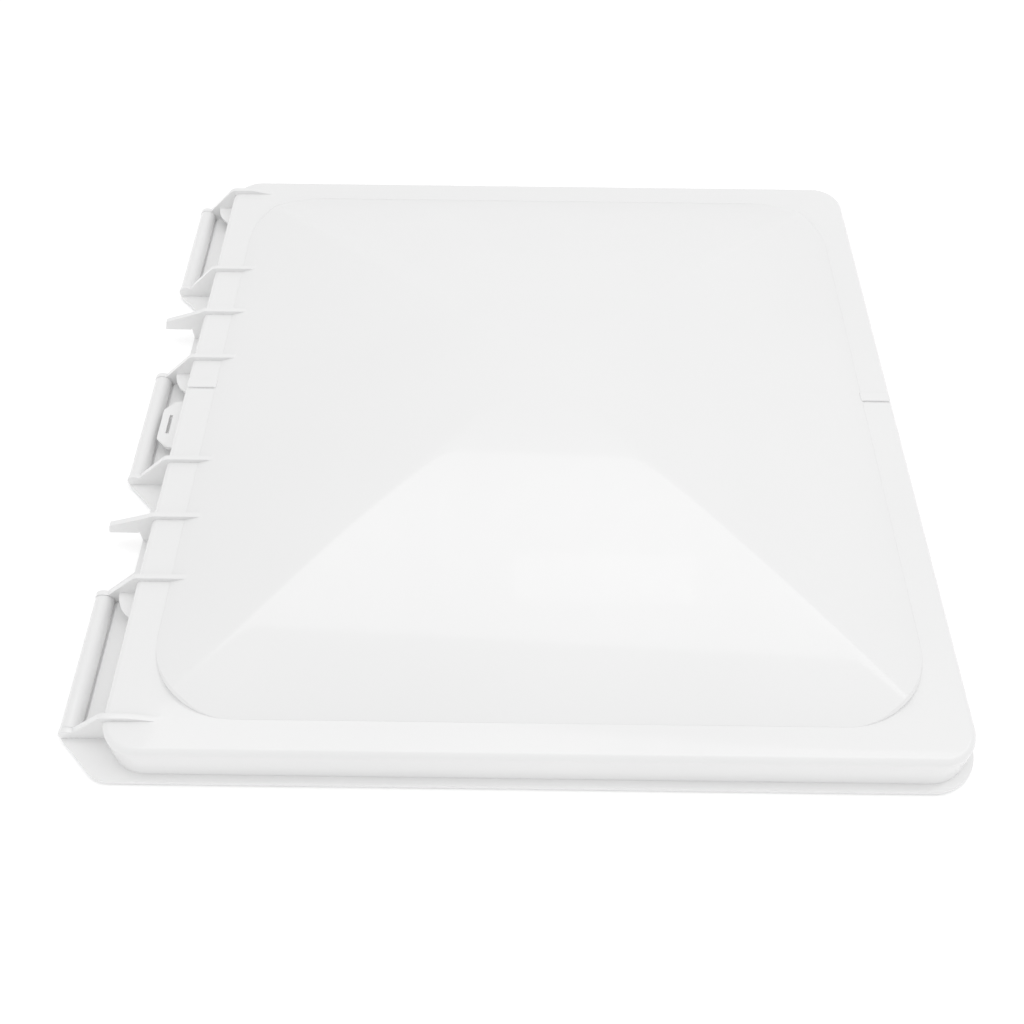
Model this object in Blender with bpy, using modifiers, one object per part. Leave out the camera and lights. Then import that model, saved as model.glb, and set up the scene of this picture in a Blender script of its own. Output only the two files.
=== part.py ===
"""Roof vent cover for a caravan or motorhome.

A square moulded lid with a shallow four-sided dome. It hangs on three rods along its hinge side, seals on
foam strips under its rim, and is lifted by an arm whose shoe runs in a slotted rail under the dome.

Units are metres. +Z is up, the hinge side faces -X, and the lip's underside is the plane Z = 0. Everything is
modelled about the lid's own centre, and at the end moved so that the origin lies under the middle of the whole
cover, rods included.
"""

from math import asin, cos, degrees, pi, radians, sin, sqrt, tan

import bmesh
import bpy
from mathutils import Matrix, Vector

# Lid: rim, skirt, lip and dome
RIM_TOP = 0.0235
RIM_HALF = 0.1970
SKIRT_HALF = 0.1984
RIM_CORNER = 0.018
EDGE_ROUND = 0.0035
WALL = 0.0025
LIP_HALF = 0.2022
LIP_THICK = 0.0030
LIP_CORNER = 0.022
LIP_BORE_HALF = 0.1966
DOME_HALF = 0.1800
DOME_CORNER = 0.042
DOME_STEP = 0.0005
DOME_RISE = 0.0390
DOME_POWER = 1.5
DOME_RINGS = (0.965, 0.89, 0.77, 0.63, 0.48, 0.33, 0.18)

# Hinge side: fins, fingers, floor plates, tabs and the slotted lug
PITCH = 0.0365
FIN_THICK = 0.0028
FIN_PROUD = 0.0027
FIN_INNER_X = -0.1700
FIN_POINT = 0.0060
HINGE_SHIFT = 0.0023
BAY_CENTRES = {"front": HINGE_SHIFT - 4 * PITCH, "middle": HINGE_SHIFT, "rear": HINGE_SHIFT + 4 * PITCH}
FINGER_PLACES = (HINGE_SHIFT - 2 * PITCH, HINGE_SHIFT + 2 * PITCH)
HINGE_LIP_X = -0.2074
PLATE_EDGE_X = -0.2222
FLOOR_EDGE_X = -0.2124
PLATE_BLEND = 0.0150
FINGER_TIP_X = -0.2222
FINGER_TIP_LOW = 0.0108
FINGER_TIP_HIGH = 0.0170
FINGER_TIP_BACK = 0.0019
TAB_LEVEL = 0.0100
TAB_THICK = 0.0020
TAB_REACH = 0.0100
TAB_LENGTH = 0.0165
LUG_REACH = 0.0118
LUG_LENGTH = 0.0330
LUG_CORNER = 0.0060
LUG_SLOT_LENGTH = 0.0130
LUG_SLOT_WIDTH = 0.0017
LUG_SLOT_X = -0.2052
OVERLAP = 0.0006

# Hinge rods
ROD_X = -0.2175
ROD_Z = 0.0048
ROD_RADIUS = 0.0047
ROD_LAND = 0.0040
JOURNAL_RADIUS = 0.0030
POCKET_DEPTH = 0.0016
SNAP_MOUTH = 0.0046
GAP = 0.0003

# Lift rail, its bosses and its fixings
RAIL_HALF_LENGTH = 0.1000
RAIL_SHEET = 0.0015
RAIL_TOP = 0.0337
RAIL_DEPTH = 0.0147
RAIL_INNER = 0.0110
RAIL_FLANGE = 0.0225
SLOT_HALF_LENGTH = 0.0750
SLOT_HALF_WIDTH = 0.0045
FIXING_X = 0.0880
FIXING_Y = 0.0175
BOSS_RADIUS = 0.0050
BOSS_TOP = 0.0470
HOLE_RADIUS = 0.0024
SCREW_RADIUS = 0.0020
SCREW_LENGTH = 0.0110
SCREW_HEAD_RADIUS = 0.0038
SCREW_HEAD_HEIGHT = 0.0026
WASHER_RADIUS = 0.0046
WASHER_THICK = 0.0008

# Slide shoe, pivot pin and clip
SHOE_HALF_LENGTH = 0.0120
SHOE_HALF_WIDTH = 0.0100
SHOE_TOP = 0.0290
SHOE_NECK_HALF = 0.0040
CLEVIS_HALF_LENGTH = 0.0080
CLEVIS_HALF_WIDTH = 0.0095
CLEVIS_TOP = 0.0185
CLEVIS_GAP_HALF = 0.0052
CLEVIS_CROWN = 0.0135
PIN_Z = 0.0085
PIN_RADIUS = 0.0025
PIN_HEAD_RADIUS = 0.0042
PIN_HEAD_THICK = 0.0018
PIN_TAIL = 0.0045
CLIP_RADIUS = 0.0045
CLIP_THICK = 0.0010
CLIP_GAP = 0.0006
CLIP_MOUTH = 0.0035

# Foam seal under the rim
SEAL_OUTER = 0.1930
SEAL_OUTER_CORNER = 0.0140
SEAL_INNER = 0.1815
SEAL_INNER_CORNER = 0.0060
SEAL_TOP = 0.0206
SEAL_THICK = 0.0060

FINE = 32
COARSE = 20
WELD = 0.00001
UPRIGHT = Matrix.Rotation(radians(90), 4, "X")


def clear_scene():
    for thing in list(bpy.data.objects):
        bpy.data.objects.remove(thing, do_unlink=True)


def new_collection(name):
    collection = bpy.data.collections.new(name)
    bpy.context.scene.collection.children.link(collection)
    return collection


def new_material(name, color, roughness, metallic=0.0):
    material = bpy.data.materials.new(name)
    material.use_nodes = True
    shader = material.node_tree.nodes["Principled BSDF"]
    shader.inputs["Base Color"].default_value = (*color, 1.0)
    shader.inputs["Roughness"].default_value = roughness
    shader.inputs["Metallic"].default_value = metallic
    return material


def new_object(name, mesh, collection, material=None):
    thing = bpy.data.objects.new(name, mesh)
    collection.objects.link(thing)
    if material is not None:
        mesh.materials.append(material)
    return thing


def mesh_from(name, build):
    """A mesh filled by the function build, which is given the empty bmesh."""
    bm = bmesh.new()
    build(bm)
    bmesh.ops.recalc_face_normals(bm, faces=bm.faces)
    mesh = bpy.data.meshes.new(name)
    bm.to_mesh(mesh)
    bm.free()
    return mesh


def prism(name, outline, low, high, collection, material=None, place=Matrix.Identity(4)):
    """A flat outline, (x, y) points, drawn out from low to high along its own Z, then placed."""
    curve = bpy.data.curves.new(name, "CURVE")
    curve.dimensions = "2D"
    curve.fill_mode = "BOTH"
    curve.extrude = (high - low) / 2
    spline = curve.splines.new("POLY")
    spline.points.add(len(outline) - 1)
    for point, (x, y) in zip(spline.points, outline):
        point.co = (x, y, 0.0, 1.0)
    spline.use_cyclic_u = True
    drawn = bpy.data.objects.new("drawn", curve)
    drawn_mesh = bpy.data.meshes.new_from_object(drawn)
    bpy.data.objects.remove(drawn)
    middle = Matrix.Translation((0.0, 0.0, (low + high) / 2))

    def build(bm):
        bm.from_mesh(drawn_mesh)
        bmesh.ops.remove_doubles(bm, verts=bm.verts, dist=WELD)
        bmesh.ops.transform(bm, matrix=place @ middle, verts=bm.verts)

    return new_object(name, mesh_from(name, build), collection, material)


def box(name, low, high, collection, material=None):
    def build(bm):
        bmesh.ops.create_cube(bm, size=1.0)
        for vert in bm.verts:
            vert.co = Vector((low[i] + (vert.co[i] + 0.5) * (high[i] - low[i]) for i in range(3)))

    return new_object(name, mesh_from(name, build), collection, material)


def cylinder(name, start, end, radius, collection, material=None, sides=FINE):
    """A closed cylinder from start to end, with a flat side turned down where it lies level."""
    start, end = Vector(start), Vector(end)
    turned = (end - start).to_track_quat("Z", "Y").to_matrix().to_4x4()
    place = Matrix.Translation((start + end) / 2) @ turned @ Matrix.Rotation(pi / sides, 4, "Z")
    size = {"segments": sides, "radius1": radius, "radius2": radius, "depth": (end - start).length}

    def build(bm):
        bmesh.ops.create_cone(bm, cap_ends=True, matrix=place, **size)

    return new_object(name, mesh_from(name, build), collection, material)


def combine(target, others, operation):
    """Joins others to target, or cuts them from it, and removes them."""
    for other in others:
        modifier = target.modifiers.new(operation.lower(), "BOOLEAN")
        modifier.operation = operation
        modifier.solver = "EXACT"
        modifier.object = other
        apply_modifiers(target)
        bpy.data.objects.remove(other, do_unlink=True)


def apply_modifiers(thing):
    graph = bpy.context.evaluated_depsgraph_get()
    mesh = bpy.data.meshes.new_from_object(thing.evaluated_get(graph))
    thing.modifiers.clear()
    thing.data = mesh


def shade(thing, angle=35.0):
    thing.data.shade_smooth()
    thing.data.set_sharp_from_angle(angle=radians(angle))


def move_origin(thing, point):
    """Puts the object's origin at a point of its joint's axis and leaves its shape where it is."""
    thing.data.transform(Matrix.Translation(-Vector(point)))
    thing.location = point


def arc(centre, radius, start, end, steps):
    """Points on an arc from start to end degrees, both included."""
    turns = [radians(start + (end - start) * i / steps) for i in range(steps + 1)]
    return [(centre[0] + radius * cos(a), centre[1] + radius * sin(a)) for a in turns]


def corner_slope(half, corner, turn):
    """The slope y / x of the point of a rounded square's corner that lies turn degrees round its arc."""
    centre = half - corner
    return (centre + corner * sin(radians(turn))) / (centre + corner * cos(radians(turn)))


def edge_reach(slope, half, corner):
    """How far out along the ray (1, slope) a rounded square's edge is."""
    centre = half - corner
    if slope * half <= centre:
        return half
    a = 1 + slope * slope
    b = centre * (1 + slope)
    return (b + sqrt(b * b - a * (2 * centre * centre - corner * corner))) / a


def ray_slopes():
    """Slopes of the rays on which all rings have their points, close together at the corners."""
    wide = [corner_slope(DOME_HALF, DOME_CORNER, turn) for turn in (0, 15)]
    tight = [corner_slope(RIM_HALF, RIM_CORNER, turn) for turn in (0, 12, 24, 36)]
    return [0.0, 0.28, 0.55] + wide + tight + [1.0]


def ring_rays():
    """Unit-square rays, counter-clockwise from +X: each eighth mirrors the one before it."""
    slopes = ray_slopes()
    quarter = [(1.0, s, s) for s in slopes] + [(s, 1.0, s) for s in reversed(slopes[:-1])]
    rays = []
    for turn in range(4):
        for x, y, slope in quarter[:-1]:
            for _ in range(turn):
                x, y = -y, x
            rays.append((x, y, slope))
    return rays


def dome_height(x, y):
    """Height of the four-sided dome over the rim: a crowned pyramid whose ridges lie on the diagonals."""
    out = max(abs(x), abs(y)) / DOME_HALF
    return DOME_RISE * (1 - min(out, 1.0) ** DOME_POWER)


def shell_rings():
    """Rings of the lid's outer surface, from the foot of the skirt up to the dome."""
    rays = ring_rays()

    def flat_ring(half, corner, z):
        reach = [edge_reach(slope, half, corner) for _, _, slope in rays]
        return [(x * r, y * r, z) for (x, y, _), r in zip(rays, reach)]

    rings = [flat_ring(SKIRT_HALF, RIM_CORNER + SKIRT_HALF - RIM_HALF, LIP_THICK / 3)]
    for turn in (0, 45, 90):
        inset = EDGE_ROUND * (1 - cos(radians(turn)))
        drop = EDGE_ROUND * (1 - sin(radians(turn)))
        rings.append(flat_ring(RIM_HALF - inset, RIM_CORNER - inset, RIM_TOP - drop))
    rings.append(flat_ring(DOME_HALF + DOME_STEP, DOME_CORNER + DOME_STEP, RIM_TOP))
    foot = [edge_reach(slope, DOME_HALF, DOME_CORNER) for _, _, slope in rays]
    for share in (1.0,) + DOME_RINGS:
        ring = []
        for (x, y, _), reach in zip(rays, foot):
            px, py = x * reach * share, y * reach * share
            ring.append((px, py, RIM_TOP + max(dome_height(px, py), DOME_STEP)))
        rings.append(ring)
    return rings


def make_shell(parts, material):
    """The lid's skin: an open surface through the rings, thickened inwards."""

    def build(bm):
        rings = [[bm.verts.new(point) for point in ring] for ring in shell_rings()]
        for low, high in zip(rings, rings[1:]):
            for i in range(len(low)):
                j = (i + 1) % len(low)
                bm.faces.new((low[i], low[j], high[j], high[i]))
        apex = bm.verts.new((0.0, 0.0, RIM_TOP + dome_height(0.0, 0.0)))
        top = rings[-1]
        for i in range(len(top)):
            bm.faces.new((top[i], top[(i + 1) % len(top)], apex))

    shell = new_object("lid_shell", mesh_from("lid_shell", build), parts, material)
    skin = shell.modifiers.new("wall", "SOLIDIFY")
    skin.thickness = WALL
    skin.offset = -1.0
    skin.use_even_offset = True
    apply_modifiers(shell)
    return shell


def bay_fins(centre):
    """Where the two fins of a bay stand along Y."""
    return centre - PITCH, centre + PITCH


def plate_edge(fin, way):
    """The floor plate's edge about a fin, from the lip out to the bay; way points away from the bay."""
    face = fin + way * FIN_THICK / 2
    run = HINGE_LIP_X - PLATE_EDGE_X
    return [(HINGE_LIP_X, face + way * run), (PLATE_EDGE_X, face), (PLATE_EDGE_X, fin), (FLOOR_EDGE_X, fin)]


def plate_corner(end_fin, way):
    """The rounded corner between an end plate's slanting edge and the lip's side; way is -1 at the front."""
    x = PLATE_EDGE_X + LIP_HALF - abs(end_fin) - FIN_THICK / 2 + PLATE_BLEND * tan(radians(22.5))
    y = way * (LIP_HALF - PLATE_BLEND)
    start = 90 if way > 0 else 225
    return arc((x, y), PLATE_BLEND, start, start + 45, 3)


def lip_outline():
    """The lip and the floor plates seen from above, counter-clockwise from the front right corner."""
    inner = LIP_HALF - LIP_CORNER
    points = arc((inner, -inner), LIP_CORNER, -90, 0, 6) + arc((inner, inner), LIP_CORNER, 0, 90, 6)
    hinge_side = []
    for place in ("rear", "middle", "front"):
        front, rear = bay_fins(BAY_CENTRES[place])
        hinge_side += plate_edge(rear, 1) + plate_edge(front, -1)[::-1]
    rear_corner = plate_corner(bay_fins(BAY_CENTRES["rear"])[1], 1)
    front_corner = plate_corner(bay_fins(BAY_CENTRES["front"])[0], -1)
    return points + rear_corner + hinge_side[1:-1] + front_corner


def make_lip(parts):
    """The lip with its floor plates, open in the middle."""
    lip = prism("lip", lip_outline(), 0.0, LIP_THICK, parts)
    rays = [(x, y, edge_reach(s, LIP_BORE_HALF, RIM_CORNER)) for x, y, s in ring_rays()]
    bore = prism("lip_bore", [(x * r, y * r) for x, y, r in rays], -WALL, 2 * LIP_THICK, parts)
    combine(lip, [bore], "DIFFERENCE")
    return lip


def upright_plate(name, outline, y, thick, parts):
    """A plate standing square to the hinge: outline is (x, z), centred at y."""
    place = Matrix.Translation((0.0, y, 0.0)) @ UPRIGHT
    return prism(name, outline, -thick / 2, thick / 2, parts, place=place)


def rib_back():
    """The part of a fin that crosses the rim: from the dome over the rim and down inside the skirt's wall."""
    top = RIM_TOP + FIN_PROUD
    under = RIM_TOP - WALL / 2
    over = [(-RIM_HALF, top), (FIN_INNER_X, top), (FIN_INNER_X - FIN_POINT, RIM_TOP), (-DOME_HALF, under)]
    return over + [(-RIM_HALF + WALL / 2, under), (-SKIRT_HALF + WALL / 2, LIP_THICK / 3)]


def make_fin(y, parts):
    """A gusset fin: level over the rim, sloping down to the rod and rounded about it."""
    around = ROD_RADIUS + GAP
    low = ROD_Z - OVERLAP
    turn_low = 180 + degrees(asin(low / around))
    end = arc((ROD_X, ROD_Z), around, 60, turn_low, 9)
    outline = rib_back() + end[::-1]
    return upright_plate("fin", outline, y, FIN_THICK, parts)


def make_finger(y, parts):
    """A pointed finger on a web that stands on the lip."""
    web_x = HINGE_LIP_X + OVERLAP
    outline = rib_back() + [
        (web_x, LIP_THICK / 3),
        (web_x, FINGER_TIP_LOW),
        (FINGER_TIP_X, FINGER_TIP_LOW),
        (FINGER_TIP_X + FINGER_TIP_BACK, FINGER_TIP_HIGH),
    ]
    return upright_plate("finger", outline, y, FIN_THICK, parts)


def make_tab(centre, parts):
    """The flat tab beside a bay's rear fin: a quarter of an ellipse."""
    fin = bay_fins(centre)[1]
    root = -RIM_HALF + WALL / 2
    reach = root - (-SKIRT_HALF - TAB_REACH)
    turns = [radians(90 * i / 6) for i in range(7)]
    outline = [(root, fin)] + [(root - reach * cos(a), fin - TAB_LENGTH * sin(a)) for a in turns]
    return prism("tab", outline, TAB_LEVEL, TAB_LEVEL + TAB_THICK, parts)


def make_lug(parts):
    """The slotted lug in the middle bay, with its outer corners cut off."""
    root = -RIM_HALF + WALL / 2
    out = -SKIRT_HALF - LUG_REACH
    half = LUG_LENGTH / 2
    outline = [(root, -half), (root, half), (out + LUG_CORNER, half), (out, half - LUG_CORNER)]
    outline += [(out, -half + LUG_CORNER), (out + LUG_CORNER, -half)]
    lug = prism("lug", outline, TAB_LEVEL, TAB_LEVEL + TAB_THICK, parts)
    low = (LUG_SLOT_X - LUG_SLOT_WIDTH / 2, -LUG_SLOT_LENGTH / 2, TAB_LEVEL - TAB_THICK)
    high = (LUG_SLOT_X + LUG_SLOT_WIDTH / 2, LUG_SLOT_LENGTH / 2, TAB_LEVEL + 2 * TAB_THICK)
    combine(lug, [box("lug_slot", low, high, parts)], "DIFFERENCE")
    return lug


def fixing_places():
    """The four fixings, named by number, as (x, y)."""
    return [(x, y) for x in (-FIXING_X, FIXING_X) for y in (-FIXING_Y, FIXING_Y)]


def make_bosses(parts):
    """The round bosses under the dome that the rail's screws bite into."""
    floor = RAIL_TOP + GAP
    bosses = []
    for x, y in fixing_places():
        bosses.append(cylinder("boss", (x, y, floor), (x, y, BOSS_TOP), BOSS_RADIUS, parts, sides=COARSE))
    return bosses


def journal_pockets(parts):
    """Blind round pockets for the rods' journals, each open downwards through a narrower snap mouth."""
    cutters = []
    for centre in BAY_CENTRES.values():
        front, rear = bay_fins(centre)
        for face, way in ((front + FIN_THICK / 2, -1), (rear - FIN_THICK / 2, 1)):
            start, end = face - way * FIN_THICK, face + way * POCKET_DEPTH
            radius = JOURNAL_RADIUS + GAP
            seat = cylinder("seat", (ROD_X, start, ROD_Z), (ROD_X, end, ROD_Z), radius, parts, sides=COARSE)
            low = (ROD_X - SNAP_MOUTH / 2, min(start, end), -LIP_THICK)
            high = (ROD_X + SNAP_MOUTH / 2, max(start, end), ROD_Z)
            mouth = box("mouth", low, high, parts)
            combine(seat, [mouth], "UNION")
            cutters.append(seat)
    return cutters


def make_lid(parts, material):
    """The whole moulding."""
    lid = make_shell(parts, material)
    fins = [make_fin(y, parts) for centre in BAY_CENTRES.values() for y in bay_fins(centre)]
    fingers = [make_finger(y, parts) for y in FINGER_PLACES]
    tabs = [make_tab(centre, parts) for centre in BAY_CENTRES.values()]
    added = [make_lip(parts)] + fins + fingers + tabs + [make_lug(parts)] + make_bosses(parts)
    combine(lid, added, "UNION")
    holes = []
    for x, y in fixing_places():
        start, end = (x, y, RAIL_TOP - WALL), (x, y, RAIL_TOP + SCREW_LENGTH)
        holes.append(cylinder("hole", start, end, HOLE_RADIUS, parts, sides=COARSE))
    combine(lid, journal_pockets(parts) + holes, "DIFFERENCE")
    shade(lid)


def make_rod(name, centre, parts, material):
    """A hinge rod: a barrel with a journal at each end and a narrow flat along its underside."""
    front, rear = bay_fins(centre)
    start, end = front + FIN_THICK / 2 + GAP, rear - FIN_THICK / 2 - GAP
    rod = cylinder(name, (ROD_X, start, ROD_Z), (ROD_X, end, ROD_Z), ROD_RADIUS, parts, material)
    land = ROD_Z - sqrt(ROD_RADIUS**2 - (ROD_LAND / 2) ** 2)
    low = (ROD_X - ROD_RADIUS, start - GAP, -LIP_THICK)
    high = (ROD_X + ROD_RADIUS, end + GAP, land)
    combine(rod, [box("land", low, high, parts)], "DIFFERENCE")
    reach = POCKET_DEPTH - GAP
    near_tip = (ROD_X, front + FIN_THICK / 2 - reach, ROD_Z)
    far_tip = (ROD_X, rear - FIN_THICK / 2 + reach, ROD_Z)
    journal = cylinder("journal", near_tip, far_tip, JOURNAL_RADIUS, parts, sides=COARSE)
    combine(rod, [journal], "UNION")
    move_origin(rod, (ROD_X, centre, ROD_Z))
    shade(rod)


def make_seal(name, turn, parts, material):
    """One side of the foam seal, mitred on the lid's diagonals; turn is its quarter turn from the -X side."""
    outer, inner = SEAL_OUTER - SEAL_OUTER_CORNER, SEAL_INNER - SEAL_INNER_CORNER
    far = arc((-outer, outer), SEAL_OUTER_CORNER, 135, 180, 3)
    far += arc((-outer, -outer), SEAL_OUTER_CORNER, 180, 225, 3)
    near = arc((-inner, -inner), SEAL_INNER_CORNER, 225, 180, 2)
    near += arc((-inner, inner), SEAL_INNER_CORNER, 180, 135, 2)
    mitre = GAP / sqrt(2)
    outline = [(x, y - mitre if y > 0 else y + mitre) for x, y in far + near]
    place = Matrix.Rotation(turn * pi / 2, 4, "Z")
    return prism(name, outline, SEAL_TOP - SEAL_THICK, SEAL_TOP, parts, material, place)


def make_rail(parts, material):
    """The lift rail: a hat section with a long slot in its floor and a hole at each fixing."""
    sheet, top, floor = RAIL_SHEET, RAIL_TOP, RAIL_TOP - RAIL_DEPTH
    web = RAIL_INNER + sheet
    half = [(0.0, floor), (web, floor), (web, top - sheet), (RAIL_FLANGE, top - sheet), (RAIL_FLANGE, top)]
    half += [(RAIL_INNER, top), (RAIL_INNER, floor + sheet), (0.0, floor + sheet)]
    mirrored = [(-y, z) for y, z in half[::-1]]
    place = Matrix.Rotation(pi / 2, 4, "Z") @ Matrix.Rotation(pi / 2, 4, "X")
    outline = half[1:-1] + mirrored[1:-1]
    rail = prism("lift_rail", outline, -RAIL_HALF_LENGTH, RAIL_HALF_LENGTH, parts, material, place)
    ends = SLOT_HALF_LENGTH - SLOT_HALF_WIDTH
    slot_outline = arc((ends, 0.0), SLOT_HALF_WIDTH, -90, 90, 8)
    slot_outline += arc((-ends, 0.0), SLOT_HALF_WIDTH, 90, 270, 8)
    cutters = [prism("rail_slot", slot_outline, floor - sheet, floor + 2 * sheet, parts)]
    for x, y in fixing_places():
        start, end = (x, y, top - 2 * sheet), (x, y, top + sheet)
        cutters.append(cylinder("rail_hole", start, end, HOLE_RADIUS, parts, sides=COARSE))
    combine(rail, cutters, "DIFFERENCE")


def make_fixings(parts, steel, zinc):
    """A washer and a pan-head screw under the rail at each boss."""
    under = RAIL_TOP - RAIL_SHEET - GAP
    washer_low = under - WASHER_THICK
    seat = washer_low - GAP
    recess = SCREW_HEAD_RADIUS / 2
    for number, (x, y) in enumerate(fixing_places(), 1):
        name = f"rail_washer_{number}"
        washer = cylinder(name, (x, y, washer_low), (x, y, under), WASHER_RADIUS, parts, zinc, COARSE)
        bore_ends = (x, y, washer_low - WASHER_THICK), (x, y, under + WASHER_THICK)
        combine(washer, [cylinder("bore", *bore_ends, HOLE_RADIUS, parts, sides=COARSE)], "DIFFERENCE")
        name = f"rail_screw_{number}"
        head_ends = (x, y, seat - SCREW_HEAD_HEIGHT), (x, y, seat)
        screw = cylinder(name, *head_ends, SCREW_HEAD_RADIUS, parts, steel, COARSE)
        shank_ends = (x, y, seat - OVERLAP), (x, y, seat + SCREW_LENGTH)
        combine(screw, [cylinder("shank", *shank_ends, SCREW_RADIUS, parts, sides=COARSE)], "UNION")
        for reach_x, reach_y in ((recess, OVERLAP), (OVERLAP, recess)):
            low = (x - reach_x, y - reach_y, seat - 2 * SCREW_HEAD_HEIGHT)
            high = (x + reach_x, y + reach_y, seat - SCREW_HEAD_HEIGHT / 2)
            combine(screw, [box("recess", low, high, parts)], "DIFFERENCE")
        shade(washer)
        shade(screw)


def make_shoe(parts, material):
    """The slide shoe: a block in the rail, a neck through its slot and a clevis below it."""
    floor = RAIL_TOP - RAIL_DEPTH
    block_low = floor + RAIL_SHEET + GAP
    length, width = SHOE_HALF_LENGTH, SHOE_HALF_WIDTH
    shoe = box("slide_shoe", (-length, -width, block_low), (length, width, SHOE_TOP), parts, material)
    neck_low = (-length + WALL, -SHOE_NECK_HALF, CLEVIS_TOP - OVERLAP)
    neck_high = (length - WALL, SHOE_NECK_HALF, block_low + OVERLAP)
    neck = box("neck", neck_low, neck_high, parts)
    half = CLEVIS_HALF_LENGTH
    ear = [(-half, CLEVIS_TOP)] + arc((0.0, PIN_Z), half, 180, 360, 14) + [(half, CLEVIS_TOP)]
    clevis = prism("clevis", ear, -CLEVIS_HALF_WIDTH, CLEVIS_HALF_WIDTH, parts, place=UPRIGHT)
    combine(shoe, [neck, clevis], "UNION")
    gap_low = (-2 * half, -CLEVIS_GAP_HALF, -PIN_Z)
    gap = box("clevis_gap", gap_low, (2 * half, CLEVIS_GAP_HALF, CLEVIS_CROWN), parts)
    reach = 2 * CLEVIS_HALF_WIDTH
    bore = cylinder("pin_bore", (0.0, -reach, PIN_Z), (0.0, reach, PIN_Z), PIN_RADIUS + GAP, parts)
    combine(shoe, [gap, bore], "DIFFERENCE")
    shade(shoe)


def make_pin(parts, steel, spring_steel):
    """The pivot pin, headed at the rear, and the clip round its front end."""
    face = CLEVIS_HALF_WIDTH + GAP
    tail = -(CLEVIS_HALF_WIDTH + PIN_TAIL)
    pin = cylinder("arm_pin", (0.0, tail, PIN_Z), (0.0, face + OVERLAP, PIN_Z), PIN_RADIUS, parts, steel)
    head = cylinder("head", (0.0, face, PIN_Z), (0.0, face + PIN_HEAD_THICK, PIN_Z), PIN_HEAD_RADIUS, parts)
    combine(pin, [head], "UNION")
    clip_y = -(CLEVIS_HALF_WIDTH + CLIP_GAP)
    start, end = (0.0, clip_y - CLIP_THICK, PIN_Z), (0.0, clip_y, PIN_Z)
    clip = cylinder("pin_clip", start, end, CLIP_RADIUS, parts, spring_steel)
    bore_ends = (0.0, clip_y - 2 * CLIP_THICK, PIN_Z), (0.0, clip_y + CLIP_THICK, PIN_Z)
    bore = cylinder("clip_bore", *bore_ends, PIN_RADIUS + GAP, parts)
    mouth_low = (-CLIP_MOUTH / 2, clip_y - 2 * CLIP_THICK, PIN_Z - 2 * CLIP_RADIUS)
    mouth = box("clip_mouth", mouth_low, (CLIP_MOUTH / 2, clip_y + CLIP_THICK, PIN_Z), parts)
    combine(clip, [bore, mouth], "DIFFERENCE")
    for thing in (pin, clip):
        move_origin(thing, (0.0, 0.0, PIN_Z))
        shade(thing)


def centre_on_origin(parts):
    """Moves every part along X, so that the origin is midway between the rods' fins and the opposite lip."""
    middle = (ROD_X - ROD_RADIUS - GAP + LIP_HALF) / 2
    for thing in parts.objects:
        thing.location.x -= middle


def main():
    clear_scene()
    parts = new_collection("roof_vent_cover")
    white = new_material("white_polypropylene", (0.86, 0.86, 0.87), 0.32)
    rod_white = new_material("rod_polypropylene", (0.85, 0.85, 0.86), 0.34)
    foam = new_material("grey_foam", (0.10, 0.10, 0.11), 0.95)
    galvanised = new_material("galvanised_sheet", (0.62, 0.64, 0.66), 0.42, 1.0)
    screw_steel = new_material("plated_screw_steel", (0.66, 0.66, 0.64), 0.30, 1.0)
    washer_zinc = new_material("plated_washer_steel", (0.68, 0.68, 0.67), 0.35, 1.0)
    nylon = new_material("natural_nylon", (0.80, 0.78, 0.70), 0.45)
    pin_steel = new_material("pin_steel", (0.60, 0.60, 0.61), 0.25, 1.0)
    spring_steel = new_material("spring_steel", (0.25, 0.25, 0.27), 0.35, 1.0)
    make_lid(parts, white)
    for place, centre in BAY_CENTRES.items():
        make_rod(f"hinge_rod_{place}", centre, parts, rod_white)
    for turn, side in enumerate(("hinge_side", "front", "latch_side", "rear")):
        make_seal(f"seal_{side}", turn, parts, foam)
    make_rail(parts, galvanised)
    make_fixings(parts, screw_steel, washer_zinc)
    make_shoe(parts, nylon)
    make_pin(parts, pin_steel, spring_steel)
    centre_on_origin(parts)


main()
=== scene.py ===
"""The looks of the roof vent cover: a square white lid with a shallow four-sided dome, hung on three rods.

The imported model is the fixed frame. Each CAD node is replaced here by a finer piece of the same shape and
size that rides on the same body. Units are metres, and the shapes are worked out about the lid's own centre.
"""

from math import atan2, cos, degrees, floor, hypot, pi, radians, sin, sqrt, tan

import bmesh
import bpy
from mathutils import Euler, Matrix, Quaternion, Vector, noise


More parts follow.
